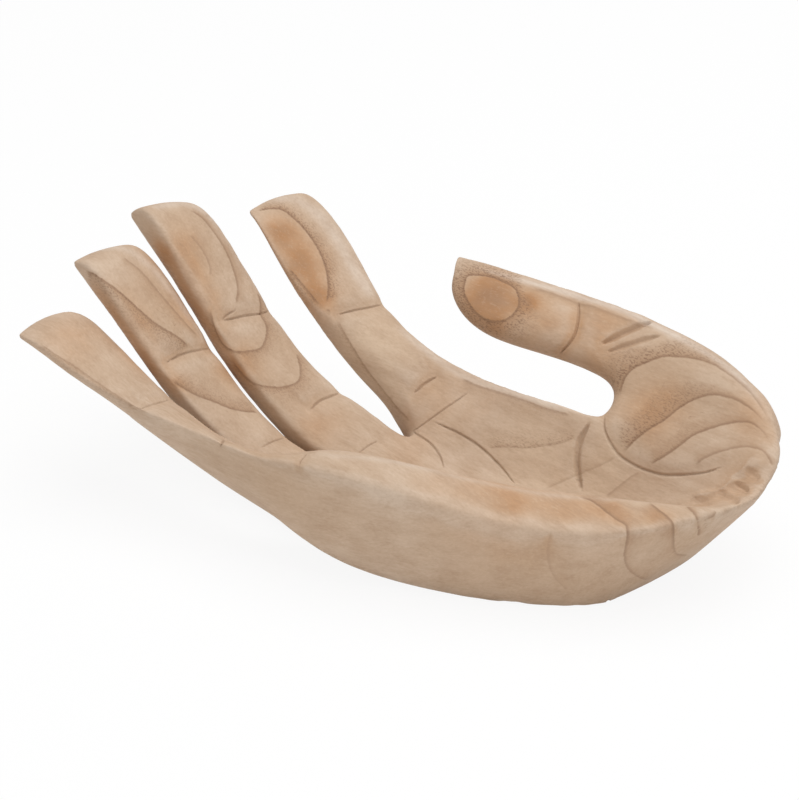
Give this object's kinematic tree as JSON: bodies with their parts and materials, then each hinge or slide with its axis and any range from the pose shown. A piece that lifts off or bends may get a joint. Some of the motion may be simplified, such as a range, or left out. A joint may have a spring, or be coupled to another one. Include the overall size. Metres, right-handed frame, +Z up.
{
  "type": "hand sculpture",
  "caption": "Carved wooden open hand, palm up and cupped as a shallow bowl, fingers curving up and the thumb lifted beside a slot, standing on a flat under the palm.",
  "frame": {"origin": "a point near the middle of the flat under the palm, on the table plane", "axes": "+X from the fingers to the heel of the hand, +Y from the little finger to the thumb, +Z up out of the palm"},
  "size_m": [0.278, 0.1717, 0.102],
  "materials": {
    "pale_wood": "matte, bare sanded wood with visible growth rings"
  },
  "bodies": {
    "root": {"hand": "pale_wood"}
  },
  "joints": []
}
